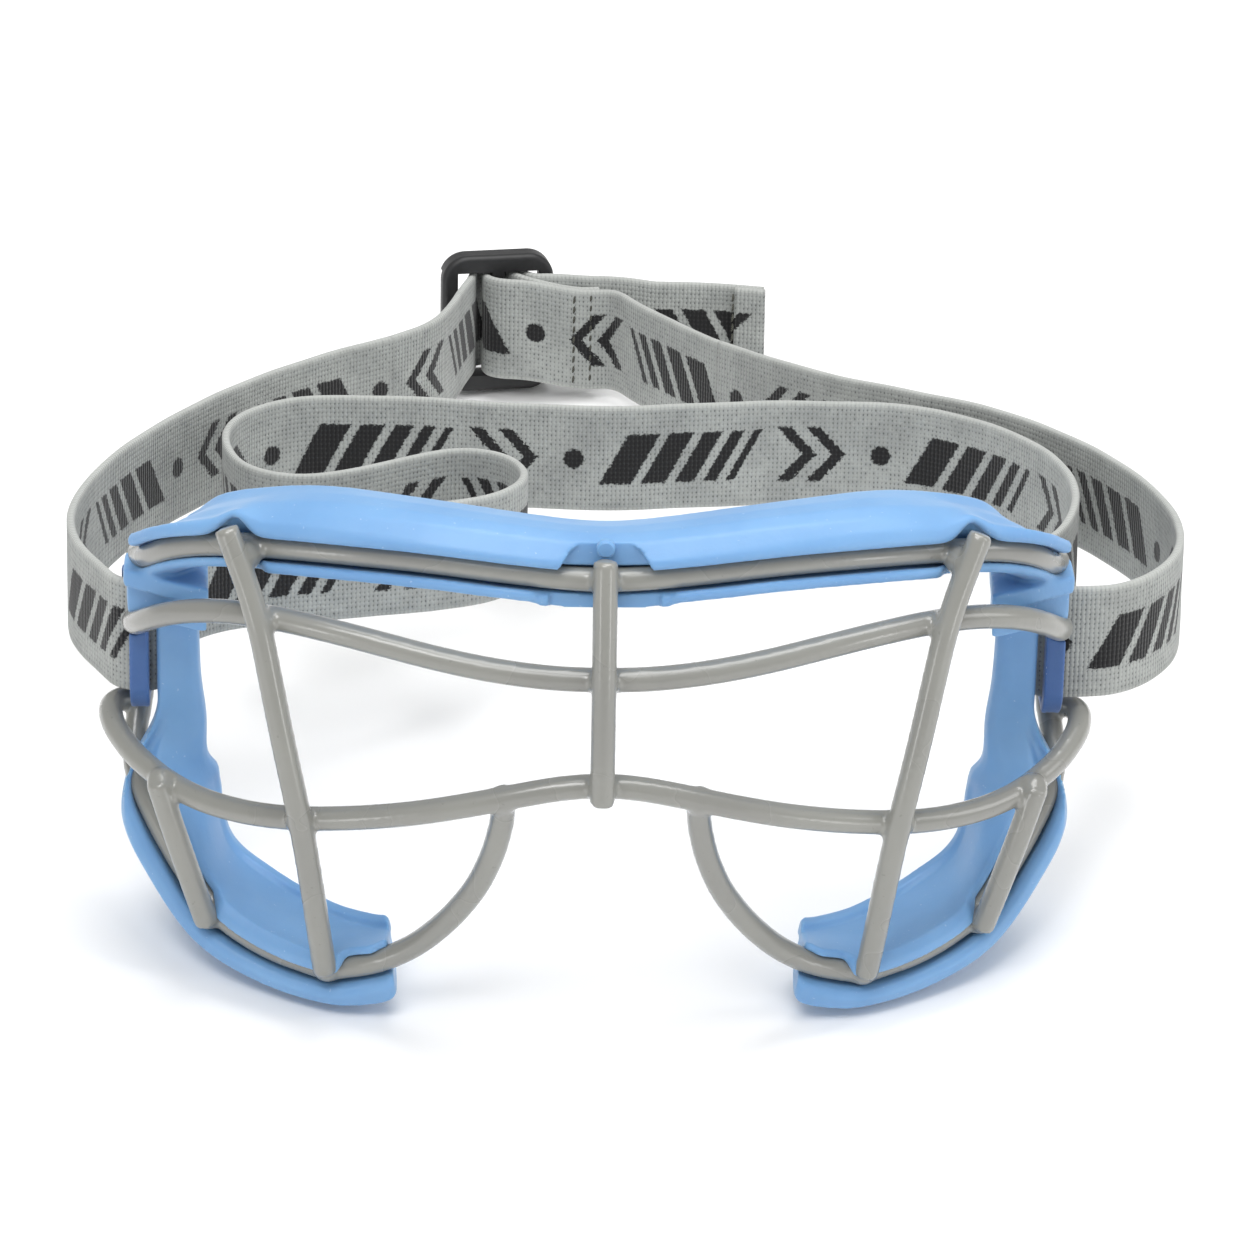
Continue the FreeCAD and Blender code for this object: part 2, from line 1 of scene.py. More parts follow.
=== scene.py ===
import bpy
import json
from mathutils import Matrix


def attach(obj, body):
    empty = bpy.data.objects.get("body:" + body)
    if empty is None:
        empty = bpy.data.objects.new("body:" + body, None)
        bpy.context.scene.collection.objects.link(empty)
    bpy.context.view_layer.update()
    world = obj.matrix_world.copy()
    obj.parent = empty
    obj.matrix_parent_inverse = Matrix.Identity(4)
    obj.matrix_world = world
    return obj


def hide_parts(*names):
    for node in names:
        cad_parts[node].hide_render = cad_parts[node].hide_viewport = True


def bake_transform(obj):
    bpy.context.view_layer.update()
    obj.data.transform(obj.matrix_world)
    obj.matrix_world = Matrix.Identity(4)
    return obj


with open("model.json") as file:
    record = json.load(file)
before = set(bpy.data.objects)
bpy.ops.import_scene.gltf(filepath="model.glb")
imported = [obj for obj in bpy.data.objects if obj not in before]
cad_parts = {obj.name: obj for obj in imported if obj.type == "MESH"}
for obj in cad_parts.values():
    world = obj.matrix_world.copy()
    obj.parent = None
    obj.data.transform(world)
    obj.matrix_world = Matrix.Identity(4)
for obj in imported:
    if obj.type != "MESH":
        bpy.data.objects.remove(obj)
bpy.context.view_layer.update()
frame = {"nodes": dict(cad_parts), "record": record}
import bpy
import bmesh
import json
import math
from mathutils import Matrix, Vector, noise

# ------------------------------------------------------------------ places
# Lines below are given as worn, in mm: X to the wearer's left, Y back past the face, Z up. On the
# table the goggles lean back, and the strap lies in a plane of its own that drops to the rear.
LEAN = 9.62
STRAP_DROP = 3.6
STRAP_HINGE = Vector((0, 42.0, -21.5))
LEANED = Matrix.Rotation(math.radians(-LEAN), 3, "X")
DROPPED = Matrix.Rotation(math.radians(-STRAP_DROP), 3, "X")
MOUNT = {m["name"]: Vector(m["pos_m"]) for m in frame["record"]["mounts"]}
SLOTS = (MOUNT["left_strap_slot"] + MOUNT["right_strap_slot"]) / 2
SLOTS_WORN = Vector((0, 40.503, -21.406))


def worn(p):
    """A place given as worn, in the frame's metres."""
    return SLOTS + LEANED @ ((Vector(p) - SLOTS_WORN) * 0.001)


def in_strap(x, along, up=0.0):
    """A place in the strap's own plane, in the frame's metres."""
    return worn(STRAP_HINGE + DROPPED @ Vector((x, along - STRAP_HINGE.y, up)))


def add_object(name, data):
    ob = bpy.data.objects.new(name, data)
    bpy.context.scene.collection.objects.link(ob)
    return ob


# ------------------------------------------------------------------ camera
ELEVATION = math.radians(25)
YAW = math.radians(1.85)
ROLL = math.radians(1.2)
AIM = Vector((2.8, 0, 0))
DISTANCE = 1000
LENS = 193.26923076923077
ahead = Vector((math.sin(YAW) * math.cos(ELEVATION), math.cos(YAW) * math.cos(ELEVATION),
                -math.sin(ELEVATION)))
level = Vector((math.cos(YAW), -math.sin(YAW), 0))
above = level.cross(ahead)
right = level * math.cos(ROLL) + above * math.sin(ROLL)
up = above * math.cos(ROLL) - level * math.sin(ROLL)
camera = add_object("camera", bpy.data.cameras.new("camera"))
camera.data.sensor_width = 36
camera.data.lens = LENS
camera.data.clip_start = 0.05
turn = Matrix([LEANED @ right, LEANED @ up, LEANED @ -ahead]).transposed()
camera.matrix_world = Matrix.Translation(worn(AIM - ahead * DISTANCE)) @ turn.to_4x4()
bpy.context.scene.camera = camera
bpy.context.scene.view_settings.view_transform = "Standard"


# ------------------------------------------------------------------ node helpers
def new_material(name):
    mat = bpy.data.materials.new(name)
    mat.use_nodes = True
    tree = mat.node_tree
    shader = next(n for n in tree.nodes if n.type == "BSDF_PRINCIPLED")
    return mat, tree, shader


def node(tree, kind, **values):
    n = tree.nodes.new(kind)
    for key, value in values.items():
        setattr(n, key, value)
    return n


def feed(tree, socket, value):
    if isinstance(value, bpy.types.NodeSocket):
        tree.links.new(value, socket)
    else:
        socket.default_value = value


def settings(shader, **values):
    """Plain values on the shader; a socket's name has underscores for its spaces."""
    for key, value in values.items():
        shader.inputs[key.replace("_", " ")].default_value = value


def calc(tree, op, a, b=0.0, c=None):
    n = node(tree, "ShaderNodeMath", operation=op)
    feed(tree, n.inputs[0], a)
    feed(tree, n.inputs[1], b)
    if c is not None:
        feed(tree, n.inputs[2], c)
    return n.outputs[0]


def between(tree, value, low, high):
    """0 below low, 1 above high, smooth in between."""
    n = node(tree, "ShaderNodeMapRange", interpolation_type="SMOOTHSTEP")
    feed(tree, n.inputs["Value"], value)
    feed(tree, n.inputs["From Min"], low)
    feed(tree, n.inputs["From Max"], high)
    return n.outputs[0]


def below(tree, value, low, high):
    """1 below low, 0 above high, smooth in between."""
    return calc(tree, "SUBTRACT", 1.0, between(tree, value, low, high))


def inside(tree, value, start, end, soft=0.18):
    """1 between start and end."""
    return calc(tree, "MULTIPLY", between(tree, value, start - soft, start + soft),
                below(tree, value, end - soft, end + soft))


def blend_colour(tree, factor, a, b):
    n = node(tree, "ShaderNodeMix", data_type="RGBA")
    feed(tree, n.inputs[0], factor)
    feed(tree, n.inputs[6], a)
    feed(tree, n.inputs[7], b)
    return n.outputs[2]


def object_place(tree):
    return node(tree, "ShaderNodeTexCoord").outputs["Object"]


def speckle(tree, scale, detail=2.0, where=None):
    n = node(tree, "ShaderNodeTexNoise")
    if where is None:
        where = object_place(tree)
    tree.links.new(where, n.inputs["Vector"])
    n.inputs["Scale"].default_value = scale
    n.inputs["Detail"].default_value = detail
    return n.outputs[0]


def bump(tree, shader, height, distance, strength):
    n = node(tree, "ShaderNodeBump")
    n.inputs["Strength"].default_value = strength
    n.inputs["Distance"].default_value = distance
    tree.links.new(height, n.inputs["Height"])
    tree.links.new(n.outputs[0], shader.inputs["Normal"])


def rgb(r, g, b):
    """A colour from its 0-255 screen values."""
    return tuple(((v / 255 + 0.055) / 1.055) ** 2.4 if v > 10 else v / 3294.6
                 for v in (r, g, b)) + (1.0,)


# ------------------------------------------------------------------ materials
def wire_coating():
    """Satin grey polymer over steel, slightly uneven, with a few darker pits."""
    mat, tree, shader = new_material("wire_coating")
    tone = between(tree, speckle(tree, 45, 3), 0.25, 0.75)
    base = blend_colour(tree, tone, rgb(131, 131, 126), rgb(140, 140, 134))
    pits = calc(tree, "MULTIPLY", between(tree, speckle(tree, 1100, 2), 0.68, 0.78), 0.3)
    feed(tree, shader.inputs["Base Color"], blend_colour(tree, pits, base, rgb(96, 95, 90)))
    feed(tree, shader.inputs["Roughness"], calc(tree, "MULTIPLY_ADD", tone, 0.08, 0.24))
    settings(shader, Specular_IOR_Level=0.6, Coat_Weight=0.6, Coat_Roughness=0.2)
    bump(tree, shader, speckle(tree, 420, 4), 0.00010, 0.22)
    return mat


def silicone(name, light, dark, roughness):
    """Moulded silicone: cloudy, dusted with pale specks, with a soft grain."""
    mat, tree, shader = new_material(name)
    cloud = between(tree, speckle(tree, 55, 4), 0.3, 0.7)
    base = blend_colour(tree, cloud, light, dark)
    dust = calc(tree, "MULTIPLY", between(tree, speckle(tree, 1500, 1), 0.74, 0.80), 0.22)
    feed(tree, shader.inputs["Base Color"], blend_colour(tree, dust, base, rgb(225, 236, 246)))
    feed(tree, shader.inputs["Roughness"], calc(tree, "MULTIPLY_ADD", cloud, 0.12, roughness))
    settings(shader, Subsurface_Weight=0.30, Subsurface_Radius=(0.4, 0.8, 1.0),
             Subsurface_Scale=0.0016, Sheen_Weight=0.12, Sheen_Roughness=0.5)
    bump(tree, shader, speckle(tree, 1400, 3), 0.00006, 0.5)
    return mat


def slide_plastic():
    """Matt black moulded plastic with a fine grain."""
    mat, tree, shader = new_material("slide_plastic")
    grain = speckle(tree, 1100, 4)
    base = blend_colour(tree, grain, rgb(22, 22, 23), rgb(36, 36, 37))
    feed(tree, shader.inputs["Base Color"], base)
    feed(tree, shader.inputs["Roughness"], calc(tree, "MULTIPLY_ADD", grain, 0.16, 0.40))
    bump(tree, shader, grain, 0.00008, 0.5)
    return mat


def sewing_thread():
    """Dark thread with the bands of its twist."""
    mat, tree, shader = new_material("thread")
    twist = node(tree, "ShaderNodeTexWave", wave_type="BANDS", bands_direction="DIAGONAL")
    tree.links.new(object_place(tree), twist.inputs["Vector"])
    twist.inputs["Scale"].default_value = 1500
    base = blend_colour(tree, twist.outputs["Fac"], rgb(58, 58, 52), rgb(92, 92, 84))
    feed(tree, shader.inputs["Base Color"], base)
    settings(shader, Roughness=0.85)
    bump(tree, shader, twist.outputs["Fac"], 0.0001, 0.6)
    return mat


# The strap's width and thickness, its knit's rib and row, and how often its print comes back, mm.
WIDTH = 18.4
THICK = 1.3
PITCH_U = 0.72
PITCH_V = 0.80
REPEAT = 52.0


def strap_print(tree, u, v, uv):
    """Slanted bars that get narrower, two chevrons and a dot, with knitted, ragged edges."""
    ragged = calc(tree, "MULTIPLY_ADD", speckle(tree, 1.9, 2, uv), 1.1, -0.55)
    tall = calc(tree, "ADD", calc(tree, "ABSOLUTE", v), ragged)
    slanted = calc(tree, "ADD", calc(tree, "MULTIPLY_ADD", v, -0.55, u), ragged)
    phase = calc(tree, "FLOORED_MODULO", slanted, REPEAT)
    ink = 0.0
    for start, end in ((1.0, 6.4), (8.0, 12.2), (13.8, 17.0), (18.6, 20.8), (22.4, 23.8)):
        bar = calc(tree, "MULTIPLY", inside(tree, phase, start, end), below(tree, tall, 4.2, 4.6))
        ink = calc(tree, "MAXIMUM", ink, bar)
    bent = calc(tree, "ADD", calc(tree, "MULTIPLY_ADD", tall, 0.9, u), ragged)
    bent = calc(tree, "FLOORED_MODULO", bent, REPEAT)
    for start in (33.0, 38.0):
        arm = calc(tree, "MULTIPLY", inside(tree, bent, start, start + 2.4),
                   below(tree, tall, 4.6, 5.0))
        ink = calc(tree, "MAXIMUM", ink, arm)
    far = calc(tree, "SUBTRACT", calc(tree, "FLOORED_MODULO", u, REPEAT), 46.4)
    radius = calc(tree, "SQRT", calc(tree, "ADD", calc(tree, "MULTIPLY", far, far),
                                     calc(tree, "MULTIPLY", v, v)))
    dot = below(tree, calc(tree, "ADD", radius, ragged), 1.5, 1.9)
    return calc(tree, "MAXIMUM", ink, dot)


def elastic_knit():
    """Grey knitted elastic. Its UVs are millimetres along the strap and across it."""
    mat, tree, shader = new_material("elastic_knit")
    uv = node(tree, "ShaderNodeUVMap", uv_map="strap_mm").outputs[0]
    apart = node(tree, "ShaderNodeSeparateXYZ")
    tree.links.new(uv, apart.inputs[0])
    along, across = apart.outputs[0], apart.outputs[1]
    fuzz = speckle(tree, 1.3, 3, uv)
    u = calc(tree, "ADD", along, calc(tree, "MULTIPLY_ADD", fuzz, 0.30, -0.15))
    v = calc(tree, "ADD", across, calc(tree, "MULTIPLY_ADD", fuzz, -0.24, 0.12))
    rib = calc(tree, "ABSOLUTE", calc(tree, "SINE", calc(tree, "MULTIPLY", u, math.pi / PITCH_U)))
    row = calc(tree, "ABSOLUTE", calc(tree, "SINE", calc(tree, "MULTIPLY", v, math.pi / PITCH_V)))
    cell = node(tree, "ShaderNodeCombineXYZ")
    feed(tree, cell.inputs[0], calc(tree, "ROUND", calc(tree, "DIVIDE", u, PITCH_U)))
    feed(tree, cell.inputs[1], calc(tree, "ROUND", calc(tree, "DIVIDE", v, PITCH_V)))
    dice = node(tree, "ShaderNodeTexWhiteNoise", noise_dimensions="2D")
    tree.links.new(cell.outputs[0], dice.inputs["Vector"])
    chance = dice.outputs["Value"]
    groove = calc(tree, "SUBTRACT", 1.0, rib)
    valley = calc(tree, "ADD", calc(tree, "SUBTRACT", 1.0, row), 0.35)
    hole = between(tree, calc(tree, "MULTIPLY", groove, valley), 0.30, 0.95)
    hole = calc(tree, "MULTIPLY", hole, calc(tree, "MULTIPLY_ADD", chance, 0.75, 0.25))
    patch = calc(tree, "MULTIPLY", between(tree, speckle(tree, 0.12, 2, uv), 0.35, 0.7), 0.5)
    yarn = blend_colour(tree, calc(tree, "MULTIPLY_ADD", chance, 0.35, patch),
                        rgb(168, 171, 168), rgb(142, 145, 143))
    knit = blend_colour(tree, calc(tree, "MULTIPLY", hole, 0.85), yarn, rgb(72, 75, 76))
    # Both long edges: a raised selvedge in the bump below, and a paler colour along the edges that
    # is painted highlight.
    selvedge_and_highlight = between(tree, calc(tree, "ABSOLUTE", across), WIDTH / 2 - 0.75, WIDTH / 2 - 0.45)
    knit = blend_colour(tree, calc(tree, "MULTIPLY", selvedge_and_highlight, 0.55), knit, rgb(186, 188, 184))
    gaps = calc(tree, "SUBTRACT", 1.0, calc(tree, "MULTIPLY", hole, 0.12))
    ink = calc(tree, "MULTIPLY", strap_print(tree, u, v, uv), gaps)
    feed(tree, shader.inputs["Base Color"], blend_colour(tree, ink, knit, rgb(17, 17, 19)))
    settings(shader, Roughness=0.88, Sheen_Weight=0.2, Sheen_Roughness=0.6, Specular_IOR_Level=0.2)
    relief = calc(tree, "ADD", calc(tree, "MULTIPLY", rib, 0.65), calc(tree, "MULTIPLY", row, 0.35))
    relief = calc(tree, "ADD", relief, calc(tree, "MULTIPLY", selvedge_and_highlight, 0.5))
    bump(tree, shader, relief, 0.00022, 0.8)
    return mat


coating = wire_coating()
pad_blue = silicone("pad_silicone", rgb(119, 165, 210), rgb(107, 154, 202), 0.40)
# The ears are the pad's silicone painted a darker blue: painted shade, standing in for their faces
# turned away from the light.
ear_blue_painted_shade = silicone("ear_silicone", rgb(66, 104, 160), rgb(56, 92, 148), 0.45)
black = slide_plastic()
thread = sewing_thread()
elastic = elastic_knit()


# ------------------------------------------------------------------ mesh helpers
def add_mesh(name, points, faces, mat):
    mesh = bpy.data.meshes.new(name)
    mesh.from_pydata([tuple(p) for p in points], [], faces)
    mesh.validate()
    mesh.polygons.foreach_set("use_smooth", [True] * len(mesh.polygons))
    mesh.materials.append(mat)
    return add_object(name, mesh)


def tube_faces(rings, count, first=0):
    """Faces round a capped tube: rings of count points each, from the point numbered first."""
    last = first + (rings - 1) * count
    faces = [tuple(range(first, first + count)), tuple(range(last + count - 1, last - 1, -1))]
    for base in range(first, last, count):
        for j in range(count):
            n = (j + 1) % count
            faces.append((base + j, base + count + j, base + count + n, base + n))
    return faces


def face_outward(ob):
    bm = bmesh.new()
    bm.from_mesh(ob.data)
    bmesh.ops.recalc_face_normals(bm, faces=bm.faces)
    bm.to_mesh(ob.data)
    bm.free()


def loft(name, rings, mat):
    """A closed body through the rings, which all have the same number of points."""
    points = [p for ring in rings for p in ring]
    ob = add_mesh(name, points, tube_faces(len(rings), len(rings[0])), mat)
    face_outward(ob)
    return ob


def spline(points, step):
    """A quadratic B-spline on the points, from the first to the last, cut into even steps."""
    pts = [Vector(p) for p in points]
    out = [pts[0]]
    for a, b, c in zip(pts, pts[1:], pts[2:]):
        p0, p2 = (a + b) / 2, (b + c) / 2
        for k in range(24):
            t = k / 24
            out.append(p0 * (1 - t) ** 2 + b * 2 * t * (1 - t) + p2 * t * t)
    out += [(pts[-2] + pts[-1]) / 2, pts[-1]]
    lengths = [0.0]
    for a, b in zip(out, out[1:]):
        lengths.append(lengths[-1] + (b - a).length)
    count = max(2, round(lengths[-1] / step))
    even = []
    j = 0
    for k in range(count + 1):
        want = lengths[-1] * k / count
        while j < len(out) - 2 and lengths[j + 1] < want:
            j += 1
        stretch = max(lengths[j + 1] - lengths[j], 1e-9)
        even.append(out[j].lerp(out[j + 1], (want - lengths[j]) / stretch))
    return even


def reskin(ob, voxel, rounds, keep, swell=0.0):
    """Modifiers for one closed skin, softened. Softening draws it in; swell pushes it out."""
    remesh = ob.modifiers.new("skin", "REMESH")
    remesh.mode = "VOXEL"
    remesh.voxel_size = voxel
    soften = ob.modifiers.new("soften", "SMOOTH")
    soften.factor = 0.5
    soften.iterations = rounds
    if swell:
        grow = ob.modifiers.new("grow", "DISPLACE")
        grow.mid_level = 0.0
        grow.strength = swell
    if keep < 1.0:
        thin = ob.modifiers.new("thin", "DECIMATE")
        thin.ratio = keep


def apply_modifiers(ob):
    bpy.context.view_layer.update()
    graph = bpy.context.evaluated_depsgraph_get()
    mesh = bpy.data.meshes.new_from_object(ob.evaluated_get(graph))
    old = ob.data
    ob.modifiers.clear()
    ob.data = mesh
    bpy.data.meshes.remove(old)
    mesh.name = ob.name
    mesh.polygons.foreach_set("use_smooth", [True] * len(mesh.polygons))


def merge_solids(name, parts, voxel, mat, rounds, keep=1.0, swell=0.0):
    """One closed skin round all the parts, with the joins between them softened."""
    bm = bmesh.new()
    for part in parts:
        bm.from_mesh(part.data)
    mesh = bpy.data.meshes.new(name)
    bm.to_mesh(mesh)
    bm.free()
    ob = add_object(name, mesh)
    reskin(ob, voxel, rounds, keep, swell)
    apply_modifiers(ob)
    ob.data.materials.clear()
    ob.data.materials.append(mat)
    return ob


def mirrored(points):
    return [(-p[0],) + tuple(p[1:]) for p in points]


def squeezed(shape, core, share):
    """The shape's points, drawn in towards its core to that share of their distance."""
    return [[c + (v - c) * share for v, c in zip(point, core)] for point in shape]


def hump(x, centre, width):
    return math.exp(-((x - centre) / width) ** 2)


def ease(value, low, high):
    t = min(1.0, max(0.0, (value - low) / (high - low)))
    return t * t * (3 - 2 * t)


# ------------------------------------------------------------------ wire cage
# The CAD wires and a small ball at each crossing, under one skin of coating.
SIDES = ("left", "right")
WIRES = ["brow_wire", "upper_bar", "lower_bar", "centre_bar"]
for side in SIDES:
    WIRES += [side + "_temple_wire", side + "_nose_arc", side + "_side_bar", side + "_cheek_strut"]
WELDS_HALF = [(53.9, 15.2, 3.9), (51.6, 11.6, -5.3), (45.9, 8.1, -36.9), (67.4, 22.5, -37.9),
              (60.4, 24, -61.8), (14.8, 1.6, -30.2), (41.6, 15.4, -66.4)]
WELDS = [(0, 3.4, 5), (0, 0, -10.1), (0, -1.5, -26.9)] + WELDS_HALF + mirrored(WELDS_HALF)
WELD_RADIUS = 0.0022
welds = bpy.data.meshes.new("welds")
bm = bmesh.new()
for spot in WELDS:
    bmesh.ops.create_icosphere(bm, subdivisions=3, radius=WELD_RADIUS,
                               matrix=Matrix.Translation(worn(spot)))
bm.to_mesh(welds)
bm.free()
# Not linked to the scene: only its mesh is needed.
weld_balls = bpy.data.objects.new("welds", welds)
cage = merge_solids("coated_cage", [frame["nodes"][n] for n in WIRES] + [weld_balls],
                    0.00045, coating, 8, swell=0.00018)
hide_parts(*WIRES, "weld_beads")
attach(cage, "cage")

# ------------------------------------------------------------------ elastic strap
# The strap's line in plan, in its own plane. Near the slide adjuster, places are given along the
# slide and towards the face, from its middle.
GLIDE = Vector((-14.6, 193.0, 0))
GLIDE_YAW = math.radians(10)
ALONG = Vector((math.cos(GLIDE_YAW), math.sin(GLIDE_YAW), 0))
FACEWARD = Vector((math.sin(GLIDE_YAW), -math.cos(GLIDE_YAW), 0))


def from_glide(a, out=0.0):
    return GLIDE + ALONG * a + FACEWARD * out


def at_glide(points):
    return [tuple(from_glide(a, out).to_2d()) for a, out in points]


TAIL = at_glide([(46.6, 7.4), (39, 4.4), (32, 2.2), (25, 0.9), (20, 0.9), (15.5, 1.9)])
THREADED = at_glide([(9.5, 2.2), (5.9, 2.2), (3.1, -3.8), (0.0, -3.8)])
LEAD_IN = at_glide([(0.0, -3.8), (-3.6, -3.8), (-4.4, 0), (-7.0, 5.6)])
LEAD_IN += [(-22.8, 175.2), (-26.2, 165.0), (-33.1, 157.8)]
LEFT = [(-33.1, 157.8), (-43.6, 149.1), (-54.6, 138.1), (-66, 121.7), (-75.6, 104.3),
        (-81.8, 85.5), (-83.7, 72), (-82.9, 61.3), (-80.4, 53.7), (-77.9, 48.3), (-74.6, 40.5),
        (-67.2, 40.5), (-66.6, 52.2), (-66.2, 58.2), (-62, 64.4), (-54, 68.7), (-42, 71.4),
        (-24, 75.8), (-14.2, 81), (-10.2, 89.8), (-13, 98.6), (-20, 102.5), (-28, 99),
        (-38, 91.7), (-47.5, 87.6), (-56, 91.8), (-59.8, 101.9), (-60, 113.5), (-55, 122.8),
        (-45, 127.2), (-31.4, 127.2), (-14.6, 124.3), (2, 122.2), (19, 124.5), (35.8, 126.8),
        (50, 125.9), (61, 121.4), (70.5, 112.1), (77.6, 98.1), (78.7, 82.6), (75.4, 68.1),
        (69.4, 58), (66.6, 52.0), (67.2, 40.5), (76.4, 40.5), (81.7, 41.7), (88, 47.6),
        (92.3, 57), (93.9, 69.1), (92, 83.6), (86.5, 98.5), (78, 113), (68, 123.7),
        (57, 131.8), (46, 139.6), (37.6, 146.6), (30.3, 154.6), (23.6, 163.1)]
LEAD_OUT = [(23.6, 163.1), (16.6, 173.0), (9.8, 183.8)]
LEAD_OUT += at_glide([(20.6, 6.6), (17.6, 5.35), (3.0, 5.35), (-2.05, 2.6), (-2.05, -2.05),
                      (1.9, -2.05), (4.7, 3.8), (17.5, 3.8)])
# How far down, in mm, the tail and the sewn end hang below the strap's plane.
TAIL_SAG = 2.6
END_SAG = 2.3


def sag(x, y, region):
    """How far the strap is below its own plane there, in mm, as a negative height."""
    a = (Vector((x, y, 0)) - GLIDE).dot(ALONG)
    far = min(1.0, max(0.0, (y - 125) / 40))
    if region == "tail":
        return -TAIL_SAG * min(1.0, max(0.0, (a - 8) / 20)) ** 1.2
    if region == "end":
        return -END_SAG * ease(a, 2, 16) * far
    if region == "main" and x > 15:
        return -END_SAG * far
    return 0.0


def thin_out(line, step):
    """The line's points about a step apart, and closer where it bends."""
    picked = [line[0]]
    last = (line[1] - line[0]).normalized()
    for a, b in zip(line[1:], line[2:] + [line[-1] * 2 - line[-2]]):
        heading = (b - a).normalized()
        if (a - picked[-1]).length >= step or heading.angle(last, 0) > math.radians(9):
            picked.append(a)
            last = heading
    if (picked[-1] - line[-1]).length < 0.25:
        picked.pop()
    return picked + [line[-1]]


def band_section():
    """The strap's section: two flat faces and rounded selvedges, as (aside, up)."""
    half = WIDTH / 2
    edge = 0.35
    rows = 14
    climb = [edge - half + (WIDTH - 2 * edge) * k / rows for k in range(rows + 1)]
    ring = [(THICK / 2, h) for h in climb] + [(THICK / 4, half), (-THICK / 4, half)]
    ring += [(-THICK / 2, -h) for h in climb] + [(-THICK / 4, -half), (THICK / 4, -half)]
    return ring


def ribbon(name, points, region, start, step=0.9):
    """A band on edge along the plan points. start is how far along the strap it begins."""
    line = thin_out(spline([(x, y, 0) for x, y in points], 0.3), step)
    section = band_section()
    rings, uvs = [], []
    travelled = start
    for k, spot in enumerate(line):
        before = line[max(k - 1, 0)]
        after = line[min(k + 1, len(line) - 1)]
        if k:
            travelled += (spot - before).length
        heading = (after - before).normalized()
        across = Vector((-heading.y, heading.x, 0))
        ripple = 0.16 * noise.noise(Vector((travelled * 0.09, 3.1, 0)))
        drop = sag(spot.x, spot.y, region) + ripple
        ring = []
        for w, h in section:
            bow = 0.10 * noise.noise(Vector((travelled * 0.06, h * 0.12, 7)))
            p = spot + across * (w + bow)
            ring.append(in_strap(p.x, p.y, h * (1 + 0.01 * ripple) + drop))
            uvs.append((travelled, h))
        rings.append(ring)
    ob = loft(name, rings, elastic)
    layer = ob.data.uv_layers.new(name="strap_mm")
    for loop in ob.data.loops:
        layer.data[loop.index].uv = uvs[loop.vertex_index]
    return ob, travelled


tail, reached = ribbon("strap_tail", TAIL + THREADED, "tail", 0.0)
lead, reached = ribbon("strap_lead", LEAD_IN, "lead", reached)
band, reached = ribbon("strap_band", LEFT, "main", reached, 1.2)
sewn, reached = ribbon("strap_sewn_end", LEAD_OUT, "end", reached)
# The tail's end, turned back on itself: a short second layer.
hem, reached = ribbon("strap_hem", at_glide([(46.5, 8.85), (41.6, 6.75)]), "tail", 26.6)

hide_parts("tail_lead", "free_tail")
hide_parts("slide_lead_in", "threaded_stretch")
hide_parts("outer_left_run", "left_strap_loop", "inner_left_run", "inner_fold",
            "inner_right_run", "right_strap_loop", "outer_right_run")
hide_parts("slide_lead_out", "sewn_loop")
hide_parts("tail_hem")
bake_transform(tail)
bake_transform(lead)
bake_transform(sewn)
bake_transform(band)
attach(hem, "strap")


# ------------------------------------------------------------------ stitching
STITCHES = 9
STITCH_PITCH = 1.85
STITCH_LENGTH = 1.4
THREAD_RADIUS = 0.00021


def stitches(name, foot, region, columns):
    """Short threads in columns up the strap; foot says how far faceward a column stands."""
    rings, around = 7, 8
    points, faces = [], []
    for column, a in enumerate(columns):
        for k in range(STITCHES):
            middle = (k - STITCHES // 2) * STITCH_PITCH + (0.5 if column % 2 else 0.0)
            faces += tube_faces(rings, around, len(points))
            for j in range(rings):
                t = j / (rings - 1)
                lift = 0.28 * math.sin(math.pi * t) - 0.06
                p = from_glide(a + 0.15 * t, foot(a) + lift)
                up = middle + STITCH_LENGTH * (t - 0.5) + sag(p.x, p.y, region)
                centre = in_strap(p.x, p.y, up)
                radius = THREAD_RADIUS * (0.35 + 0.65 * math.sin(math.pi * (0.12 + 0.76 * t)))
                for i in range(around):
                    angle = 2 * math.pi * i / around
                    off = Vector((math.cos(angle), math.sin(angle), 0)) * radius
                    points.append(centre + LEANED @ off)
    ob = add_mesh(name, points, faces, thread)
    face_outward(ob)
    return ob


def hem_foot(a):
    return 0.62 + 8.75 - (46.3 - a) * 0.414


seam = stitches("loop_stitching", lambda a: 5.35 + 0.62, "end", (12.6, 15.6))
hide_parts("loop_stitches")
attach(seam, "adjuster")
hem_seam = stitches("hem_stitching", hem_foot, "tail", (41.0,))
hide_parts("hem_stitches")
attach(hem_seam, "strap")

# ------------------------------------------------------------------ brow pad
BROW = [(0, 5, 4.7), (13, 5.6, 5.7), (26, 7.6, 6.6), (40, 11.6, 6.2), (51, 16.4, 5.0),
        (60.5, 22, 2.8), (66, 26.5, 0.0), (69.5, 32, -4.0), (71.1, 35.4, -5.8)]
BROW_STEP = 0.8
BROW_CORE = (-4.0, 1.0)
BROW_VOXEL = 0.00036


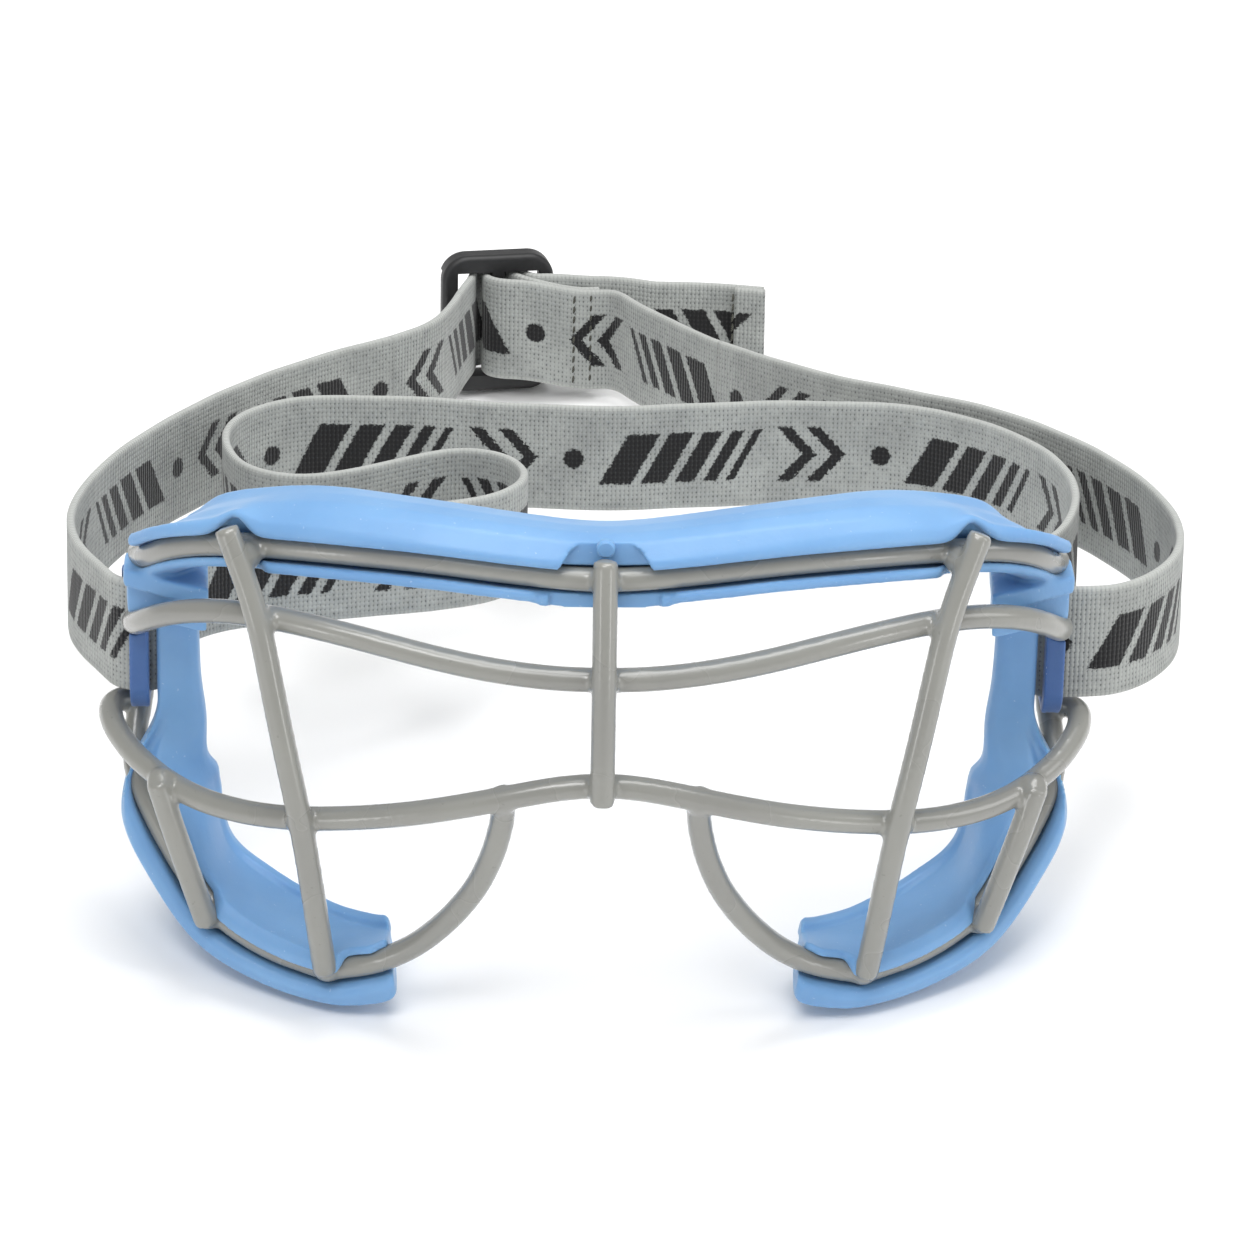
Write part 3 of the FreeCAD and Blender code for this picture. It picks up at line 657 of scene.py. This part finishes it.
def brow_profile(x):
    """The brow pad's outline at that x, as (out of the face, up) from the wire's middle.

    The lip opens over each side bar (notch), and the lower shelf steps near the middle and the
    ends."""
    a = abs(x)
    notch = hump(a, 54.8, 2.5)
    lip = 2.2 + 2.9 * notch
    front = 3.2 - 0.9 * notch
    rise = 1.0 * hump(a, 46.0, 13.0) - 0.5 * hump(a, 0, 20)
    deep = 11.4 - 2.6 * (a / 70.0) ** 3
    fade = 1.0 - 0.55 * (a / 70.0) ** 4
    middle = 0.5 + 0.5 * math.tanh((10.2 - a) / 0.5)
    outer = 0.5 + 0.5 * math.tanh((a - 50.6) / 0.6)
    low = -3.6 - 0.9 * middle
    shelf = 2.9 - 0.9 * middle - 1.6 * outer
    edge = -1.9 - 0.7 * middle
    return [(0.2, lip + 0.1), (front - 0.9, lip - 0.1), (front - 0.2, lip + 0.35),
            (front, lip + 1.0 - 0.5 * notch), (front - 0.25, lip + 1.7 - 1.0 * notch),
            (front - 0.8, 4.6 + rise * 0.4 + 1.6 * notch),
            (0.6, (6.4 + rise * 0.5) * fade + 0.9 * notch),
            (-1.8, (7.1 + rise * 0.8) * fade + 0.3 * notch),
            (-5.2, (6.9 + rise) * fade), (-deep + 1.4, 5.7 + rise), (-deep + 0.2, 4.8 + rise),
            (-deep, 3.4 + rise * 0.6), (-deep + 0.7, 0.6), (-8.0, -2.6), (-5.6, -4.2),
            (-2.0, -4.4), (shelf - 1.8, low - 0.2), (shelf - 0.3, low + 0.1), (shelf, edge - 0.7),
            (shelf - 0.1, edge), (shelf - 0.6, edge + 0.25), (min(0.9, shelf - 1.0), -2.3),
            (-1.6, -2.3), (-2.4, 0.0), (-1.7, 2.3)]


def brow_sweep():
    """The profile swept along the brow wire, rounded off towards both ends."""
    line = spline(mirrored(BROW[:0:-1]) + BROW, BROW_STEP)
    rings = []
    for k, spot in enumerate(line):
        run = line[min(k + 1, len(line) - 1)] - line[max(k - 1, 0)]
        out = Vector((run.y, -run.x, 0)).normalized()
        end = min(k, len(line) - 1 - k) * BROW_STEP
        squeeze = min(1.0, 0.45 + 0.55 * math.sqrt(min(1.0, end / 3.2)))
        ring = []
        for w, h in squeezed(brow_profile(spot.x), BROW_CORE, squeeze):
            ring.append(worn(spot + out * w + Vector((0, 0, h))))
        rings.append(ring)
    return loft("brow_raw", rings, pad_blue)


def slab(corners, low, high):
    """A flat-topped prism on plan corners, between two heights."""
    return loft("slab", [[worn((x, y, z)) for x, y in corners] for z in (low, high)], pad_blue)


# The end blocks: a flange under the wire, over a block that closes down to the cheek pad.
FLANGE = [(60.0, 24.6), (66.2, 27.6), (73.4, 32.4), (73.4, 39.0), (60.6, 39.0)]
BLOCK = [(60.4, 26.8), (66.2, 29.6), (72.8, 34.0), (73.2, 39.0), (61.0, 39.0)]
parts = [brow_sweep()]
for flip in (mirrored, list):
    parts.append(slab(flip(FLANGE), -9.4, -6.4))
    parts.append(slab(flip(BLOCK), -14.6, -8.8))
brow = merge_solids("brow_pad_silicone", parts, BROW_VOXEL, pad_blue, 3, 0.6)
for part in parts:
    bpy.data.objects.remove(part, do_unlink=True)

# The dish over the centre bar: an ellipse cut into the lip, back to a flat floor.
turns = [k * math.pi / 24 for k in range(48)]
dish = loft("dish", [[worn((8.4 * math.cos(t), y, 2.0 + 10.4 * math.sin(t))) for t in turns]
                     for y in (-5.0, 4.7)], pad_blue)
carve = brow.modifiers.new("dish", "BOOLEAN")
carve.operation = "DIFFERENCE"
carve.object = dish
reskin(brow, BROW_VOXEL, 2, 0.6)
apply_modifiers(brow)
bpy.data.objects.remove(dish, do_unlink=True)
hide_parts("brow_pad")
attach(brow, "cage")

# ------------------------------------------------------------------ cheek pads
# Stations down the temple wire: a point on the wire, which way the face lies (degrees), how far
# the outer lip and the skin reach from the wire, and how deep the skin's edge lies.
STATIONS = [
    (71.2, 37.0, -13.5, 180, 2.0, 9.2, -2.0),
    (71.2, 37.4, -26.0, 180, 2.0, 9.5, -2.0),
    (71.2, 37.6, -34.0, 178, 2.0, 10.3, -1.6),
    (72.2, 37.0, -42.5, 171, 2.8, 11.5, 1.2),
    (69.4, 34.0, -48.6, 157, 5.0, 10.9, 5.4),
    (66.3, 31.0, -53.6, 143, 5.6, 9.2, 9.8),
    (60.0, 25.5, -61.6, 120, 5.8, 5.8, 14.0),
    (51.5, 20.6, -65.6, 104, 5.8, 4.8, 15.0),
    (41.8, 16.0, -66.9, 92, 5.8, 4.4, 12.0),
    (34.9, 14.8, -65.4, 84, 6.7, 3.0, 8.8),
    (31.8, 14.2, -64.1, 80, 6.4, 2.6, 7.2),
]


def station(t):
    """A cheek pad's numbers at t, from 0 at its top to 1 at its tip."""
    f = t * (len(STATIONS) - 1)
    k = min(int(f), len(STATIONS) - 2)
    r = f - k
    near = [STATIONS[min(max(k + j, 0), len(STATIONS) - 1)] for j in (-1, 0, 1, 2)]
    return [0.5 * (2 * p1 + (p2 - p0) * r + (2 * p0 - 5 * p1 + 4 * p2 - p3) * r * r
                   + (3 * p1 - p0 - 3 * p2 + p3) * r ** 3) for p0, p1, p2, p3 in zip(*near)]


def cheek_profile(t, outer, skin, reach):
    """(inward, back) from the wire's middle. A plain strip at the top, a grooved pad below."""
    lip = ease(t, 0.585, 0.605) - ease(t, 0.815, 0.845)
    curl = 0.9 * hump(t, 0.90, 0.035)
    deep = max(reach * 0.5, 3.6) + 4.4
    pad = [(-2.0, 0.4), (-2.05, -1.2), (-2.5, -2.1), (-3.6, -2.5), (0.5 - outer, -1.8),
           (-outer, -0.3), (0.1 - outer, 3.0), (0.9 - outer, 6.0), (2.6 - outer, 7.8),
           (0.5, deep), (skin - 3.4, reach + 4.0), (skin - 0.9, reach + 3.9),
           (skin + 0.1, reach + 2.4), (skin, reach + 0.4), (skin - 0.8, reach - 0.5),
           (1.6 + 0.5 * skin, reach * 0.45 - 0.8 - 0.6 * lip), (3.8, -0.6 - 1.9 * lip - curl),
           (2.7 - 0.4 * lip, -0.9 - 2.5 * lip - curl), (2.5 - 1.5 * lip, -0.7 - 2.6 * lip - curl),
           (2.4 - 1.8 * lip, -0.5 - 2.3 * lip - 0.6 * curl), (2.35 - 1.2 * lip, -0.3 - 2.05 * lip),
           (2.3, -0.1), (1.7, 1.6), (0.0, 2.35), (-1.6, 1.65)]
    strip = [(3.6, -2.05), (3.2, -1.95), (2.95, -1.8), (2.8, -1.5), (2.7, -1.1), (2.65, -0.4),
             (2.65, 0.8), (2.8, 1.8), (3.3, 2.2), (5.0, 2.3), (skin - 2.6, 2.3),
             (skin - 0.8, 2.2), (skin - 0.1, 1.4), (skin, 0.2), (skin - 0.3, -1.2),
             (skin - 1.3, -2.0), (skin - 2.4, -2.15), (5.9, -2.1), (5.4, -2.1), (5.0, -2.1),
             (4.7, -2.1), (4.4, -2.1), (4.2, -2.1), (4.0, -2.1), (3.8, -2.08)]
    m = ease(t, 0.15, 0.40)
    return [(a * m + c * (1 - m), b * m + d * (1 - m)) for (a, b), (c, d) in zip(pad, strip)]


def cheek(side):
    flip = mirrored if side == "left" else list
    steps = 150
    rings = []
    for k in range(steps + 1):
        t = k / steps
        x, y, z, angle, outer, skin, reach = station(t)
        inward = Vector((math.cos(math.radians(angle)), 0, math.sin(math.radians(angle))))
        shape = cheek_profile(t, outer, skin, reach)
        shrink = 1.0 - 0.16 * (1 - math.sqrt(min(1.0, (1 - t) / 0.035)))
        middle = [sum(v) / len(shape) for v in zip(*shape)]
        ring = [Vector((x, y, z)) + inward * far + Vector((0, deep, 0))
                for far, deep in squeezed(shape, middle, shrink)]
        rings.append([worn(p) for p in flip(ring)])
    raw = loft("cheek_raw", rings, pad_blue)
    ob = merge_solids(side + "_cheek_silicone", [raw], 0.00034, pad_blue, 3, 0.6)
    bpy.data.objects.remove(raw, do_unlink=True)
    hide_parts(side + "_cheek_pad")
    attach(ob, "cage")


for side in SIDES:
    cheek(side)

# ------------------------------------------------------------------ strap ears
# The CAD ear with softened edges; in front of the slot, its lower half tapers to the front edge.
EAR_FRONT = 34.4
SLOT_FRONT = 38.6
EAR_MIDDLE = STRAP_HINGE.z
for side in SIDES:
    ear = merge_solids(side + "_ear_moulding", [frame["nodes"][side + "_strap_ear"]], 0.0003,
                       ear_blue_painted_shade, 4, 0.6)
    for vert in ear.data.vertices:
        p = LEANED.transposed() @ (vert.co - SLOTS) * 1000 + SLOTS_WORN
        if p.y < SLOT_FRONT and p.z < EAR_MIDDLE:
            taper = 0.72 + 0.28 * (p.y - EAR_FRONT) / (SLOT_FRONT - EAR_FRONT)
            p.z = EAR_MIDDLE + (p.z - EAR_MIDDLE) * taper
            vert.co = worn(p)
    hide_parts(side + "_strap_ear")
    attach(ear, "cage")

# ------------------------------------------------------------------ CAD pieces kept as they are
for name, mat in (("slide_adjuster", black), ("brow_pad_stud", pad_blue)):
    ob = frame["nodes"][name]
    ob.data.materials.clear()
    ob.data.materials.append(mat)

# ------------------------------------------------------------------ floor and light
HALF_FLOOR = 6
paper, tree, shader = new_material("paper")
white = blend_colour(tree, speckle(tree, 30, 2), (0.95, 0.95, 0.95, 1), (0.97, 0.97, 0.97, 1))
feed(tree, shader.inputs["Base Color"], white)
settings(shader, Roughness=0.9)
corners = [(-HALF_FLOOR, -HALF_FLOOR, 0), (HALF_FLOOR, -HALF_FLOOR, 0),
           (HALF_FLOOR, HALF_FLOOR, 0), (-HALF_FLOOR, HALF_FLOOR, 0)]
floor = add_mesh("floor", corners, [(0, 1, 2, 3)], paper)

world = bpy.data.worlds.new("studio")
bpy.context.scene.world = world
world.use_nodes = True
sky = next(n for n in world.node_tree.nodes if n.type == "BACKGROUND")
sky.inputs["Color"].default_value = (1.0, 1.0, 1.0, 1)
sky.inputs["Strength"].default_value = 0.50


def softbox(name, where, size, power, aim):
    """A rectangular studio light at where, in metres, turned towards aim."""
    lamp = bpy.data.lights.new(name, "AREA")
    lamp.shape = "RECTANGLE"
    lamp.size, lamp.size_y = size
    lamp.energy = power
    ob = add_object(name, lamp)
    ob.location = where
    ob.rotation_euler = (Vector(aim) - Vector(where)).to_track_quat("-Z", "Y").to_euler()


softbox("key", (-0.25, -0.50, 1.0), (0.5, 0.35), 4.2, (0, 0, 0.04))
softbox("top", (0.15, 0.10, 1.1), (0.8, 0.7), 8.5, (0, 0, 0))
softbox("side", (0.9, -0.2, 0.5), (0.3, 0.5), 1.4, (0, 0, 0.04))
for side, x in (("left", -0.75), ("right", 0.75)):
    softbox("low_" + side, (x, -0.85, 0.16), (0.12, 0.30), 0.9, (0, 0, 0.05))
